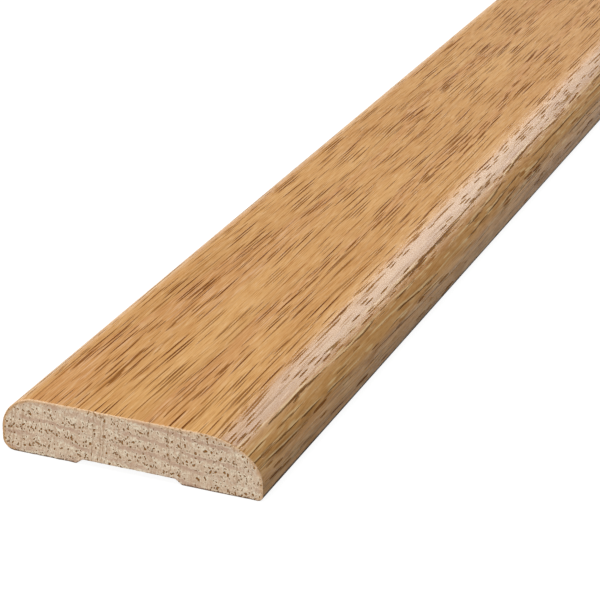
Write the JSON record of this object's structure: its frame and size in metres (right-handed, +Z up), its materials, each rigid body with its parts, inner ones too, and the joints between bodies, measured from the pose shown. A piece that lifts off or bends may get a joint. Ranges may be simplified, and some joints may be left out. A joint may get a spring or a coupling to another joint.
{
  "type": "flat wood strip",
  "caption": "Flat prefinished oak trim strip with a narrow rounded edge, a wide curved edge, square raw ends and a shallow relief planed along its back.",
  "frame": {"origin": "on the floor under the middle of the strip, at the bottom centre of its box", "axes": "+Y along the strip, +X across it towards the wide curved edge, +Z up out of the finished face"},
  "size_m": [0.0444, 0.9144, 0.0095],
  "materials": {
    "oak": "honey stain under a satin clear coat on face and edges, raw sawn ends and planed back"
  },
  "bodies": {
    "root": {"strip": "oak"}
  },
  "joints": []
}
